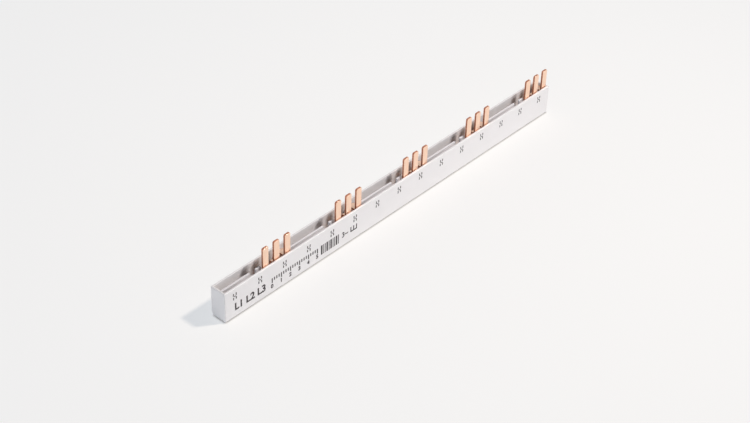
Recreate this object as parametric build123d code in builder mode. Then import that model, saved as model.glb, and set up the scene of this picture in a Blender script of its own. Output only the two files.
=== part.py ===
"""Three-phase comb busbar: three copper combs with cranked pins in an insulating trough.

Millimetres, +Z up. X runs along the row of breakers, the front face looks along -Y, and the
origin is the middle of the underside.
"""
import os

from build123d import *

# Layout along the row of breakers
module_pitch = 18.0  # width of one breaker module
group_count = 5  # groups of pins, each serving one three-pole breaker
phase_count = 3  # copper combs, and pins in a group
slot_pitch = 7.9  # from slot to slot within a group
slot_width = 4.4
lead_in = 19.4  # from the near end wall to the first slot

# Copper combs, punched from strip and bent
strip_thickness = 1.2
strip_height = 6.2
strip_pitch = 2.65  # from comb to comb across the trough
strip_inset = 6.0  # from the near end wall to the end of each strip
pin_width = 4.0
pin_reach = 11.6  # above the rim of the trough
pin_tip_radius = 0.9
pin_root_radius = 0.8
bend_radius = 0.4  # inside of each bend
shelf_depth = 1.6  # from the rim to the top of a cranked pin's shelf

# Trough, moulded with closed ends and two partitions
wall = 1.2
floor_thickness = 1.2
end_wall = 1.2
trough_height = 18.4
bottom_radius = 2.4  # along the back
edge_radius = 0.5

# Slotted insert that covers the combs between their pins
web_thickness = 1.0
front_web_depth = 3.9  # from the rim to the web before the ridge
skirt_thickness = 0.6
slot_relief = 0.6  # from the rear web's underside to the uncut skirt

# Clearances
front_gap = 0.4  # between the front wall and the first comb
strip_gap = 0.2  # between a comb and the plastic beside it
strip_headroom = 0.4  # between the strips and the rear web over them
insert_fit = 0.1  # between the insert and the trough's walls

# Lengths worked out from the layout, from the near end (-X) to the far end (+X)
group_pitch = phase_count * module_pitch
slots_in_group = phase_count + 1  # the first slot of a group stays empty
slots_span = (group_count - 1) * group_pitch + (slots_in_group - 1) * slot_pitch
inner_length = lead_in + slots_span + slot_width
trough_length = inner_length + 2 * end_wall
near_wall = -inner_length / 2
first_slot = near_wall + lead_in + slot_width / 2
strip_start = near_wall + strip_inset
strip_end = first_slot + slots_span + pin_width / 2

# Widths worked out from the combs, from the front face (-Y) to the back (+Y)
combs_span = (phase_count - 1) * strip_pitch + strip_thickness
inner_width = front_gap + combs_span + strip_gap + skirt_thickness + insert_fit
trough_width = inner_width + 2 * wall
front_wall = -inner_width / 2
back_wall = inner_width / 2
pin_middle = front_wall + front_gap + strip_thickness / 2
partition_thickness = strip_pitch - strip_thickness - 2 * strip_gap
ridge_middle = pin_middle + strip_pitch / 2
ridge_front = ridge_middle - partition_thickness / 2
ridge_back = ridge_middle + partition_thickness / 2

# Heights worked out from the floor and the rim
strip_top = floor_thickness + strip_height
front_web_top = trough_height - front_web_depth
rear_web_bottom = strip_top + strip_headroom
rear_web_top = rear_web_bottom + web_thickness
slot_bottom = rear_web_bottom - slot_relief
shelf_middle = trough_height - shelf_depth - strip_thickness / 2
pin_top = trough_height + pin_reach

os.makedirs("parts", exist_ok=True)

# Trough: a rounded block, hollowed from above, with a partition between each pair of combs
with BuildPart() as trough:
    with BuildSketch(Plane.YZ) as outline:
        Rectangle(trough_width, trough_height, align=(Align.CENTER, Align.MIN))
        fillet(outline.vertices().group_by(Axis.Y)[0].sort_by(Axis.X)[-1], bottom_radius)
    extrude(amount=trough_length / 2, both=True)
    ends = trough.faces().filter_by(Axis.X)
    long_edges = trough.edges().filter_by(Axis.X).group_by(Axis.Z)
    front_bottom = long_edges[0].sort_by(Axis.Y)[:1]
    fillet(ends.edges() + long_edges[-1] + front_bottom, edge_radius)
    with BuildSketch(Plane.XY.offset(floor_thickness)):
        Rectangle(inner_length, inner_width)
    extrude(amount=trough_height, mode=Mode.SUBTRACT)
    with BuildSketch(Plane.XY.offset(floor_thickness)):
        for gap in range(phase_count - 1):
            with Locations((0, ridge_middle + gap * strip_pitch)):
                Rectangle(inner_length, partition_thickness)
    extrude(amount=rear_web_bottom - floor_thickness)
trough.part.label = "trough"
export_step(trough.part, "parts/trough.step")

# Slotted insert: front web, ridge, deep rear web and back skirt in one section. It rests on both
# partitions and stands on the floor. Each group cuts it with an empty slot and an opening that
# takes all its pins, and only the skirt runs on unbroken.
insert_front = front_wall + insert_fit
insert_back = back_wall - insert_fit
skirt_front = insert_back - skirt_thickness
pins_span = (phase_count - 1) * slot_pitch
with BuildPart() as insert:
    with BuildSketch(Plane.YZ) as section:
        with BuildLine():
            Polyline(
                (insert_front, front_web_top - web_thickness),
                (ridge_front, front_web_top - web_thickness),
                (ridge_front, rear_web_bottom),
                (skirt_front, rear_web_bottom),
                (skirt_front, floor_thickness),
                (insert_back, floor_thickness),
                (insert_back, rear_web_top),
                (ridge_back, rear_web_top),
                (ridge_back, trough_height),
                (ridge_front, trough_height),
                (ridge_front, front_web_top),
                (insert_front, front_web_top),
                close=True,
            )
        make_face()
    extrude(amount=inner_length / 2 - insert_fit, both=True)
    with BuildSketch(Plane.XY.offset(slot_bottom)):
        for group in range(group_count):
            empty_slot = first_slot + group * group_pitch
            with Locations((empty_slot, 0)):
                Rectangle(slot_width, trough_width)
            with Locations((empty_slot + slot_pitch + pins_span / 2, 0)):
                Rectangle(pins_span + slot_width, trough_width)
    extrude(amount=trough_height - slot_bottom, mode=Mode.SUBTRACT)
insert.part.label = "slotted_insert"
export_step(insert.part, "parts/slotted_insert.step")

# Combs: a strip on edge with a row of pins. The pins of the first comb rise straight from it.
# Those of the others are cranked forwards through the opening, so that all stand in one row.
strip_length = strip_end - strip_start
for phase in range(phase_count):
    strip_middle = pin_middle + phase * strip_pitch
    first_pin = first_slot + (phase + 1) * slot_pitch
    pin_planes = [Plane.YZ.offset(first_pin + group * group_pitch) for group in range(group_count)]
    with BuildPart() as comb:
        with BuildSketch(Plane.XY.offset(floor_thickness)):
            with Locations(((strip_start + strip_end) / 2, strip_middle)):
                Rectangle(strip_length, strip_thickness)
        extrude(amount=strip_height)
        with BuildSketch(*pin_planes):
            with BuildLine():
                if phase == 0:
                    Line((strip_middle, floor_thickness), (pin_middle, pin_top))
                else:
                    FilletPolyline(
                        (strip_middle, floor_thickness),
                        (strip_middle, shelf_middle),
                        (pin_middle, shelf_middle),
                        (pin_middle, pin_top),
                        radius=bend_radius + strip_thickness / 2,
                    )
            trace(line_width=strip_thickness)
        extrude(amount=pin_width / 2, both=True)
        crosswise = comb.edges().filter_by(Axis.Y)
        fillet(crosswise.group_by(Axis.Z)[-1], pin_tip_radius)
        corners = comb.edges().filter_by(Axis.Y).filter_by_position(Axis.Z, strip_top, strip_top)
        fillet(corners, pin_root_radius)
    comb.part.label = f"phase_comb_l{phase + 1}"
    export_step(comb.part, f"parts/phase_comb_l{phase + 1}.step")
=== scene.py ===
"""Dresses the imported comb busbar: white moulded trough and insert, punched copper combs, dark print."""

import bmesh
import bpy
import numpy as np
from mathutils import Matrix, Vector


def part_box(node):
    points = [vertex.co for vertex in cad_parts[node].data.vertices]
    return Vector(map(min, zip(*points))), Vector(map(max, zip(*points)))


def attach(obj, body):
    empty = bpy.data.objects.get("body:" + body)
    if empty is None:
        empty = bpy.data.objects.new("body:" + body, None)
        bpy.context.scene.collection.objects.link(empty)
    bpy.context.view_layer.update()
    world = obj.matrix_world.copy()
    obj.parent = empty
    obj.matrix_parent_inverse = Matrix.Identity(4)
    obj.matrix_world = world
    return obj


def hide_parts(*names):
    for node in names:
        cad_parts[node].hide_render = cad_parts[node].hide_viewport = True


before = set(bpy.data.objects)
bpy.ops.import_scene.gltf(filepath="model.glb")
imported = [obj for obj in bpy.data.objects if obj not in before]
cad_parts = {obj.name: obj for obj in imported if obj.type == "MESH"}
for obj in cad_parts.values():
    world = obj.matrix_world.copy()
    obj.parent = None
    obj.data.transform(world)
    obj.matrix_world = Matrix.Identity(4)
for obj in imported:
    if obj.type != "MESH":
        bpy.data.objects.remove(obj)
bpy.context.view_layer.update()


# Trough. The real one is a single moulding in white PC/ABS with closed ends, open at the top.
# The spark-eroded mould leaves a fine matt skin, and each edge has the mould's small radius.
MM = 0.001


def linear(hex_colour):
    """sRGB hex to linear RGBA: ((c + 0.055) / 1.055) ** 2.4 above the toe, c / 12.92 on it."""
    srgb = np.array([int(hex_colour[i:i + 2], 16) for i in (1, 3, 5)]) / 255
    rgb = np.where(srgb > 0.04045, ((srgb + 0.055) / 1.055) ** 2.4, srgb / 12.92)
    return (*rgb, 1.0)


def add(tree, kind, inputs=None, **settings):
    """Adds a node with its settings. An input is a constant, or another node's output to link.

    Inputs go by name, or by number where the node has several of one name: a Mix node's are 0 for the
    factor, 2 and 3 for two numbers and 6 and 7 for two colours, and its outputs 0 and 2.
    """
    node = tree.nodes.new(kind)
    for name, value in settings.items():
        setattr(node, name, value)
    for name, value in (inputs or {}).items():
        if isinstance(value, bpy.types.NodeSocket):
            tree.links.new(value, node.inputs[name])
        else:
            node.inputs[name].default_value = value
    return node


def clean(work, merge_mm):
    """Merges a mesh's doubles, and joins its triangles wherever they lie flat to each other."""
    flat = np.radians(0.5)
    bmesh.ops.remove_doubles(work, verts=work.verts, dist=merge_mm * MM)
    bmesh.ops.dissolve_limit(work, angle_limit=flat, verts=work.verts, edges=work.edges)


def softened(node, name, edge_mm):
    """A clean copy of a node, with each edge that turns by more than sharp rounded by edge_mm."""
    sharp = np.radians(35)
    mesh = bpy.data.meshes.new(name)
    work = bmesh.new()
    work.from_mesh(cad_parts[node].data)
    clean(work, merge_mm=0.0001)
    work.to_mesh(mesh)
    work.free()
    mesh.shade_smooth()
    piece = bpy.data.objects.new(name, mesh)
    bpy.context.scene.collection.objects.link(piece)
    bevel = piece.modifiers.new("edge_radius", "BEVEL")
    bevel.width = edge_mm * MM
    bevel.segments = 3
    bevel.limit_method = "ANGLE"
    bevel.angle_limit = sharp
    bevel.harden_normals = True
    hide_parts(node)
    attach(piece, "root")
    return piece


def moulded_white(name, shade, tint, roughness):
    """PC/ABS from an eroded mould: white, faintly uneven, with a matt skin that still shows a sheen."""
    grain_mm = 0.5  # the real grit is about 0.05 mm, drawn coarser so that it shows
    grain_depth_mm = 0.012
    warp_mm = 22.0  # slow waves left where the walls shrink
    warp_depth_mm = 0.06
    blotch_mm = 9.0
    roughness_swing = 0.06
    material = bpy.data.materials.new(name)
    material.use_nodes = True
    tree = material.node_tree
    shader = tree.nodes["Principled BSDF"]
    shader.inputs["IOR"].default_value = 1.57
    place = add(tree, "ShaderNodeTexCoord").outputs["Object"]
    blotch = add(tree, "ShaderNodeTexNoise", {"Vector": place, "Scale": 1 / (blotch_mm * MM), "Detail": 3.0})
    mixed = add(
        tree, "ShaderNodeMix", {0: blotch.outputs["Fac"], 6: linear(shade), 7: linear(tint)}, data_type="RGBA"
    )
    tree.links.new(mixed.outputs[2], shader.inputs["Base Color"])
    grain = add(tree, "ShaderNodeTexNoise", {"Vector": place, "Scale": 1 / (grain_mm * MM), "Detail": 2.0})
    warp = add(tree, "ShaderNodeTexNoise", {"Vector": place, "Scale": 1 / (warp_mm * MM), "Detail": 0.0})
    gloss = add(
        tree, "ShaderNodeMapRange",
        {
            "Value": grain.outputs["Fac"],
            "To Min": roughness - roughness_swing,
            "To Max": roughness + roughness_swing,
        },
    )
    tree.links.new(gloss.outputs["Result"], shader.inputs["Roughness"])
    slow = add(
        tree, "ShaderNodeBump",
        {"Height": warp.outputs["Fac"], "Strength": 0.5, "Distance": warp_depth_mm * MM},
    )
    fine = add(
        tree, "ShaderNodeBump",
        {
            "Height": grain.outputs["Fac"],
            "Strength": 0.35,
            "Distance": grain_depth_mm * MM,
            "Normal": slow.outputs["Normal"],
        },
    )
    tree.links.new(fine.outputs["Normal"], shader.inputs["Normal"])
    return material


trough = softened("trough", "white_trough", edge_mm=0.18)
trough.data.materials.append(moulded_white("moulded_white_pc_abs", "#E3DFDE", "#DFDBDA", roughness=0.46))


# Phase combs. Each is punched from rolled copper strip, and two of the three then have their pins
# cranked in a press. The rolled faces stay bright, and the sheared edges are rough and torn; their
# darker colour is partly painted shade, standing in for the shade on the pins' sides and tips.
def copper(name, bright, dull, roughness, stretch, depth_mm):
    """Bare copper: streaks drawn out along one axis shift its colour, roughness and surface together."""
    streak_mm = 0.7  # rolling lines are about 0.05 mm apart, drawn coarser so that they show
    roughness_swing = 0.1
    material = bpy.data.materials.new(name)
    material.use_nodes = True
    tree = material.node_tree
    shader = tree.nodes["Principled BSDF"]
    shader.inputs["Metallic"].default_value = 1.0
    place = add(tree, "ShaderNodeTexCoord").outputs["Object"]
    drawn = add(tree, "ShaderNodeMapping", {"Vector": place, "Scale": stretch})
    streak = add(
        tree, "ShaderNodeTexNoise",
        {"Vector": drawn.outputs["Vector"], "Scale": 1 / (streak_mm * MM), "Detail": 4.0, "Roughness": 0.6},
    )
    ramp = add(tree, "ShaderNodeValToRGB", {"Fac": streak.outputs["Fac"]})
    for stop, (position, colour) in zip(ramp.color_ramp.elements, ((0.3, dull), (0.7, bright))):
        stop.position = position
        stop.color = linear(colour)
    tree.links.new(ramp.outputs["Color"], shader.inputs["Base Color"])
    gloss = add(
        tree, "ShaderNodeMapRange",
        {
            "Value": streak.outputs["Fac"],
            "To Min": roughness + roughness_swing,
            "To Max": roughness - roughness_swing,
        },
    )
    tree.links.new(gloss.outputs["Result"], shader.inputs["Roughness"])
    torn = add(
        tree, "ShaderNodeBump",
        {"Height": streak.outputs["Fac"], "Strength": 0.5, "Distance": depth_mm * MM},
    )
    tree.links.new(torn.outputs["Normal"], shader.inputs["Normal"])
    return material


along_pins = (1.0, 1.0, 0.05)
through_strip = (1.0, 0.15, 1.0)
rolled = copper("rolled_copper", "#FFE4CF", "#FFD4B8", 0.38, stretch=along_pins, depth_mm=0.004)
# Painted shade: the sheared copper's darker colours also stand in for the shade on the pins' sides and tips.
sheared_and_shaded = copper("sheared_copper_and_painted_shade", "#D69A7E", "#A5674C", 0.5, stretch=through_strip, depth_mm=0.04)
tip_depth = 1.3 * MM  # a tip's rounded edge lies within this of the top
tip_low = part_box("phase_comb_l1")[1].z - tip_depth
side_share = 0.7  # a face with this much of its normal along X is a sheared side
broad_share = 0.5  # a face with this much of its normal along Y is a broad one
for phase in ("l1", "l2", "l3"):
    comb = softened(f"phase_comb_{phase}", f"copper_comb_{phase}", edge_mm=0.1)
    comb.data.materials.append(rolled)
    comb.data.materials.append(sheared_and_shaded)
    normal = np.empty(len(comb.data.polygons) * 3)
    centre = np.empty_like(normal)
    comb.data.polygons.foreach_get("normal", normal)
    comb.data.polygons.foreach_get("center", centre)
    along, across, _ = np.abs(normal.reshape(-1, 3).T)
    at_tip = centre.reshape(-1, 3)[:, 2] > tip_low
    # The press sheared the sides, and at the tips all but the two broad faces. These take the darker
    # copper, which is partly painted shade.
    cut_and_shaded = (along > side_share) | (at_tip & (across < broad_share))
    comb.data.polygons.foreach_set("material_index", cut_and_shaded.astype(np.int32))


# Slotted insert. It is moulded from the same white PC/ABS and pressed in over the combs.
# Its ridge and webs run between the groups of pins, and its back skirt joins the lengths in one.
insert = softened("slotted_insert", "white_slotted_insert", edge_mm=0.12)
insert.data.materials.append(moulded_white("moulded_white_insert", "#DFDADA", "#DAD5D5", roughness=0.5))


# Print. Dark ink is pad-printed on the front face: a mark at each module, phase letters, a short rule
# with numbers, a block of plain bars and two small signs. It stands about 0.01 mm proud of the face.
near_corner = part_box("trough")[0]
front = near_corner.y
near = near_corner.x
ink_proud = 0.012 * MM
ink_sunk = 0.01 * MM


def printing_ink(name, colour, pale):
    """Pad-printing ink: nearly black, satin, thin and patchy where the pad lifted off."""
    patch_mm = 0.8
    material = bpy.data.materials.new(name)
    material.use_nodes = True
    tree = material.node_tree
    shader = tree.nodes["Principled BSDF"]
    shader.inputs["Roughness"].default_value = 0.5
    place = add(tree, "ShaderNodeTexCoord").outputs["Object"]
    patch = add(tree, "ShaderNodeTexNoise", {"Vector": place, "Scale": 1 / (patch_mm * MM), "Detail": 2.0})
    ramp = add(tree, "ShaderNodeValToRGB", {"Fac": patch.outputs["Fac"]})
    for stop, (position, shade) in zip(ramp.color_ramp.elements, ((0.45, colour), (0.75, pale))):
        stop.position = position
        stop.color = linear(shade)
    tree.links.new(ramp.outputs["Color"], shader.inputs["Base Color"])
    return material


ink = printing_ink("pad_printing_ink", "#2E2728", "#524948")


def printed(name, mesh):
    """Makes a mesh on the front face a printed piece of the trough."""
    mesh.materials.clear()
    mesh.materials.append(ink)
    piece = bpy.data.objects.new(name, mesh)
    bpy.context.scene.collection.objects.link(piece)
    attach(piece, "root")


def printed_bars(name, left, right, bottom, top):
    """Flat bars on the front face, one for each row of the four edge arrays, each a closed thin box."""
    edges = [np.asarray(edge, float) for edge in (left, right, bottom, top)]
    left, right, bottom, top = np.broadcast_arrays(*edges)
    x = np.stack([left, right, right, left], -1)[:, None, :]
    z = np.stack([bottom, bottom, top, top], -1)[:, None, :]
    y = np.array([front - ink_proud, front + ink_sunk])[None, :, None]
    corners = np.stack(np.broadcast_arrays(x, y, z), -1).reshape(-1, 3)
    sides = np.array([(0, 1, 2, 3), (7, 6, 5, 4), (0, 4, 5, 1), (1, 5, 6, 2), (2, 6, 7, 3), (3, 7, 4, 0)])
    faces = (sides[None] + 8 * np.arange(len(left))[:, None, None]).reshape(-1, 4)
    mesh = bpy.data.meshes.new(name)
    mesh.from_pydata(corners.tolist(), [], faces.tolist())
    printed(name, mesh)


def printed_text(name, words, left, bottom, cap_mm, bold_mm):
    """Letters on the front face: a flat text outline, thickened by bold_mm all round and raised along -Y."""
    cap_share = 0.729  # cap height of the built-in font for a size of one
    curve = bpy.data.curves.new(name, "FONT")
    curve.body = words
    curve.size = cap_mm * MM / cap_share
    curve.offset = bold_mm * MM
    outline = bpy.data.objects.new(name + "_outline", curve)
    bpy.context.scene.collection.objects.link(outline)
    bpy.context.view_layer.update()
    mesh = bpy.data.meshes.new_from_object(outline)
    bpy.data.objects.remove(outline)
    work = bmesh.new()
    work.from_mesh(mesh)
    clean(work, merge_mm=0.001)
    raised = bmesh.ops.extrude_face_region(work, geom=work.faces[:])
    lifted = [part for part in raised["geom"] if isinstance(part, bmesh.types.BMVert)]
    bmesh.ops.translate(work, verts=lifted, vec=(0, 0, ink_proud + ink_sunk))
    bmesh.ops.recalc_face_normals(work, faces=work.faces)
    work.to_mesh(mesh)
    work.free()
    deepest = front + ink_sunk
    mesh.transform(Matrix(((1, 0, 0, left), (0, 0, -1, deepest), (0, 1, 0, bottom), (0, 0, 0, 1))))
    printed(name, mesh)


# A mark is two broken strokes with a short bar between them: left, right, bottom and top of each.
mark_pitch = 17.8 * MM
mark_count = 15
mark_height = 13.4 * MM
first_mark = near + 7.05 * MM
stroke = np.array(
    [
        (-1.3, -0.6, -2.05, -0.4),
        (-1.3, -0.6, 0.4, 2.05),
        (0.6, 1.3, -2.05, -0.4),
        (0.6, 1.3, 0.4, 2.05),
        (-0.6, 0.6, -0.28, 0.28),
    ]
) * MM
mark_x = first_mark + np.arange(mark_count) * mark_pitch
mark_z = np.full(mark_count, mark_height)
marks = stroke[None] + np.stack([mark_x, mark_x, mark_z, mark_z], -1)[:, None]
printed_bars("module_marks", *marks.reshape(-1, 4).T)

letters_left = near + 6.6 * MM
letters_low = 4.3 * MM
printed_text("phase_letters", "L1 L2 L3", letters_left, letters_low, cap_mm=4.6, bold_mm=0.22)

rule_start = near + 33.0 * MM
rule_step = 6.7 * MM  # from number to number
number_count = 6
number_low = 3.1 * MM
number_inset = 0.6 * MM  # from a number's left side to its tick
ticks_per_number = 4
tick_width = 0.8 * MM
tick_top = 9.4 * MM
long_tick_low = 6.3 * MM
short_tick_low = 7.4 * MM
tick = np.arange((number_count - 1) * ticks_per_number + 1)
tick_left = rule_start + tick * rule_step / ticks_per_number
tick_low = np.where(tick % ticks_per_number == 0, long_tick_low, short_tick_low)
printed_bars("rule_ticks", tick_left, tick_left + tick_width, tick_low, tick_top)
for number in range(number_count):
    number_left = rule_start + number * rule_step - number_inset
    printed_text(f"rule_number_{number}", str(number), number_left, number_low, cap_mm=2.5, bold_mm=0.18)

block_left = near + 69.6 * MM
bar_low = 3.6 * MM
bar_top = 9.8 * MM
bar_gap = 0.6 * MM
bar_width = np.array([1.2, 0.6, 0.6, 1.2, 0.6, 1.2, 0.6, 0.6, 1.2, 0.6]) * MM
bar_right = block_left + np.cumsum(bar_width + bar_gap) - bar_gap
printed_bars("bar_block", bar_right - bar_width, bar_right, bar_low, bar_top)

supply_left = near + 85.6 * MM
sign_low = 5.9 * MM
printed_text("supply_sign", "3~", supply_left, sign_low, cap_mm=3.4, bold_mm=0.12)

# The comb sign is a spine with three teeth on it.
spine_left = near + 92.4 * MM
spine_top = 6.7 * MM
tooth_top = 9.3 * MM
tooth_width = 0.8 * MM
tooth_pitch = 2.2 * MM
tooth_left = spine_left + np.arange(3) * tooth_pitch
spine_right = tooth_left[-1] + tooth_width
printed_bars(
    "comb_sign",
    [spine_left, *tooth_left],
    [spine_right, *(tooth_left + tooth_width)],
    [sign_low, spine_top, spine_top, spine_top],
    [spine_top, tooth_top, tooth_top, tooth_top],
)


# Stage. A white table stands in cool daylight from three low windows, with one small softbox at the
# front right. To the camera and in reflections the table glows a little, and the backdrop is a plain
# white that darkens towards the ceiling.
def seen_directly(tree):
    """1 for a ray from the camera, a reflection or a clear piece, and 0 for a ray that only lights."""
    ray = add(tree, "ShaderNodeLightPath")
    seen = ray.outputs["Is Camera Ray"]
    for kind in ("Is Glossy Ray", "Is Transmission Ray"):
        either = add(tree, "ShaderNodeMath", {0: seen, 1: ray.outputs[kind]}, operation="MAXIMUM")
        seen = either.outputs[0]
    return seen


table_reach = 4.0
table_gap = 0.35 * MM  # the moulding is never quite flat, which leaves a hairline of shadow under it
table_glow = 0.675  # lifts the table to a near white
painted_shade_reach = 1.1 * MM  # how far the dark line along the foot spreads
floor_mesh = bpy.data.meshes.new("floor")
table_sides = ((-1, -1), (1, -1), (1, 1), (-1, 1))
table_corners = [(x * table_reach, y * table_reach, -table_gap) for x, y in table_sides]
floor_mesh.from_pydata(table_corners, [], [(0, 1, 2, 3)])
floor = bpy.data.objects.new("floor", floor_mesh)
bpy.context.scene.collection.objects.link(floor)
floor_paint = bpy.data.materials.new("white_table")
floor_paint.use_nodes = True
table = floor_paint.node_tree
paint = table.nodes["Principled BSDF"]
paint.inputs["Roughness"].default_value = 0.9
paint.inputs["Specular IOR Level"].default_value = 0.0
paint.inputs["Emission Color"].default_value = linear("#F6FAFF")
table_seen = seen_directly(table)
table_colour = add(
    table, "ShaderNodeMix", {0: table_seen, 6: linear("#EEEEEE"), 7: linear("#938B81")}, data_type="RGBA"
)
table.links.new(table_colour.outputs[2], paint.inputs["Base Color"])
# Painted shade: near the moulding, ambient occlusion dims the table's glow into a dark line along its foot.
painted_contact_shade = add(table, "ShaderNodeAmbientOcclusion", {"Distance": painted_shade_reach}, samples=8)
glow = add(table, "ShaderNodeMath", {0: table_seen, 1: table_glow}, operation="MULTIPLY")
shaded = add(
    table, "ShaderNodeMath", {0: glow.outputs[0], 1: painted_contact_shade.outputs["AO"]}, operation="MULTIPLY"
)
table.links.new(shaded.outputs[0], paint.inputs["Emission Strength"])
floor_mesh.materials.append(floor_paint)

world = bpy.data.worlds.new("daylight")
world.use_nodes = True
bpy.context.scene.world = world
sky = world.node_tree
sky.nodes.clear()
way = add(sky, "ShaderNodeSeparateXYZ", {"Vector": add(sky, "ShaderNodeTexCoord").outputs["Generated"]})
# The windows stand to the left, in front and behind, each given by its axis, side and strength. They
# reach no higher than the low band.
windows = (("X", -1.0, 2.4), ("Y", -1.0, 1.0), ("Y", 1.0, 2.0))
window_edge = 0.2  # share of a direction along the axis at which the window begins
daylight = 0.02  # what comes from between the windows
for axis, side, strength in windows:
    window = add(
        sky, "ShaderNodeMapRange",
        {"Value": way.outputs[axis], "From Min": window_edge * side, "From Max": side, "To Max": strength},
    )
    total = add(sky, "ShaderNodeMath", {0: window.outputs["Result"], 1: daylight}, operation="ADD")
    daylight = total.outputs[0]
low_band = add(
    sky, "ShaderNodeMapRange",
    {"Value": way.outputs["Z"], "From Min": 0.1, "From Max": 0.6, "To Min": 1.0, "To Max": 0.0},
)
banded = add(sky, "ShaderNodeMath", {0: daylight, 1: low_band.outputs["Result"]}, operation="MULTIPLY")
ceiling = add(
    sky, "ShaderNodeMapRange",
    {"Value": way.outputs["Z"], "From Min": 0.2, "From Max": 0.7, "To Min": 1.0, "To Max": 0.55},
)
sky_seen = seen_directly(sky)
brightness = add(sky, "ShaderNodeMix", {0: sky_seen, 2: banded.outputs[0], 3: ceiling.outputs["Result"]})
tone = add(
    sky, "ShaderNodeMix", {0: sky_seen, 6: linear("#ECF5FF"), 7: linear("#FAFAFA")}, data_type="RGBA"
)
even = add(sky, "ShaderNodeBackground", {"Color": tone.outputs[2], "Strength": brightness.outputs[0]})
add(sky, "ShaderNodeOutputWorld", {"Surface": even.outputs["Background"]})

# The softbox lights the whole length evenly, as a larger and more distant one would.
key_at = np.array([0.24, -0.27, 0.56])
key_size = 0.08
key_strength = 9.9
key_distance = np.linalg.norm(key_at)
lamp = bpy.data.lights.new("softbox", "AREA")
lamp.shape = "DISK"
lamp.size = key_size
lamp.energy = key_strength * key_distance ** 2
lamp.color = (1.0, 0.975, 0.96)
lamp.use_nodes = True
lamp_tree = lamp.node_tree
falloff = add(lamp_tree, "ShaderNodeLightFalloff", {"Strength": 1.0 / key_distance ** 2})
lamp_tree.links.new(falloff.outputs["Constant"], lamp_tree.nodes["Emission"].inputs["Strength"])
softbox = bpy.data.objects.new("softbox", lamp)
bpy.context.scene.collection.objects.link(softbox)
towards_key = key_at / key_distance
key_across = np.cross((0, 0, 1), towards_key)
key_across = key_across / np.linalg.norm(key_across)
key_axes = np.stack([key_across, np.cross(towards_key, key_across), towards_key], 1)
softbox.matrix_world = Matrix.Translation(key_at.tolist()) @ Matrix(key_axes.tolist()).to_4x4()


# Camera. It stands where the photograph was taken from, which was found from the module marks and the
# corners of the near end, and it looks down along the busbar with a long lens.
azimuth, elevation, roll = np.radians([48.974, 37.346, -1.788])
focal_px = 1646.7
frame_px = 750
camera_at = np.array([near - 422.32 * MM, -469.97 * MM, 549.62 * MM])
level_ahead = np.array([np.sin(azimuth), np.cos(azimuth), 0.0])
level_right = np.array([np.cos(azimuth), -np.sin(azimuth), 0.0])
ahead = np.cos(elevation) * level_ahead - np.sin(elevation) * np.array([0.0, 0.0, 1.0])
level_down = np.cross(ahead, level_right)
right = np.cos(roll) * level_right + np.sin(roll) * level_down
down = np.cos(roll) * level_down - np.sin(roll) * level_right
lens = bpy.data.cameras.new("photo_view")
lens.sensor_fit = "HORIZONTAL"
lens.sensor_width = 36.0
lens.lens = focal_px * lens.sensor_width / frame_px
lens.clip_start = 0.01
lens.clip_end = 20.0
camera = bpy.data.objects.new("photo_view", lens)
bpy.context.scene.collection.objects.link(camera)
camera_axes = np.stack([right, -down, -ahead], 1)
camera.matrix_world = Matrix.Translation(camera_at.tolist()) @ Matrix(camera_axes.tolist()).to_4x4()
bpy.context.scene.camera = camera
bpy.context.scene.view_settings.view_transform = "Standard"
